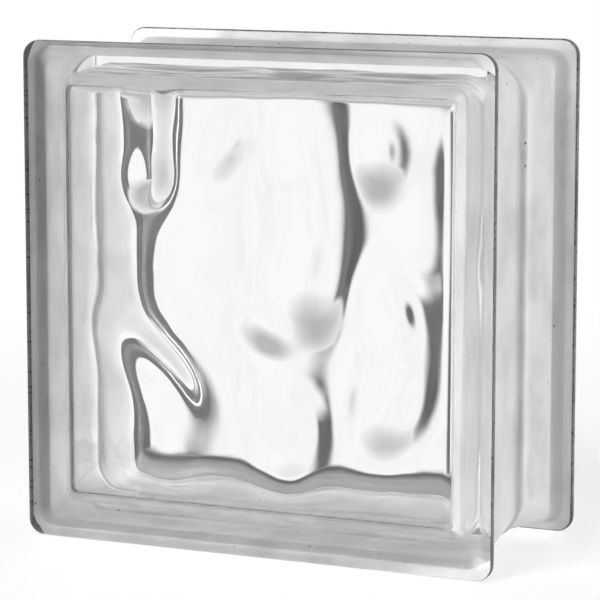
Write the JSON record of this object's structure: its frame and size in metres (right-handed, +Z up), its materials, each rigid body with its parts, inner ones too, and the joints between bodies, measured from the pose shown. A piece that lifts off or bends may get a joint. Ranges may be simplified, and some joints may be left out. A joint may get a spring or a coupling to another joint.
{
  "type": "glass block",
  "caption": "Square hollow glass block for walls, with flat outer faces, wavy inner faces, rounded lips and a mortar channel round its edges.",
  "frame": {"origin": "middle of the base, on the floor that the two lower lips stand on", "axes": "+Z up, +Y from the front face to the rear face, +X along the faces to the right as seen from the front"},
  "size_m": [0.197, 0.0984, 0.197],
  "materials": {
    "glass": "clear pressed soda-lime glass, channel coated pale grey"
  },
  "bodies": {
    "root": {"glass_block": "glass"}
  },
  "joints": []
}
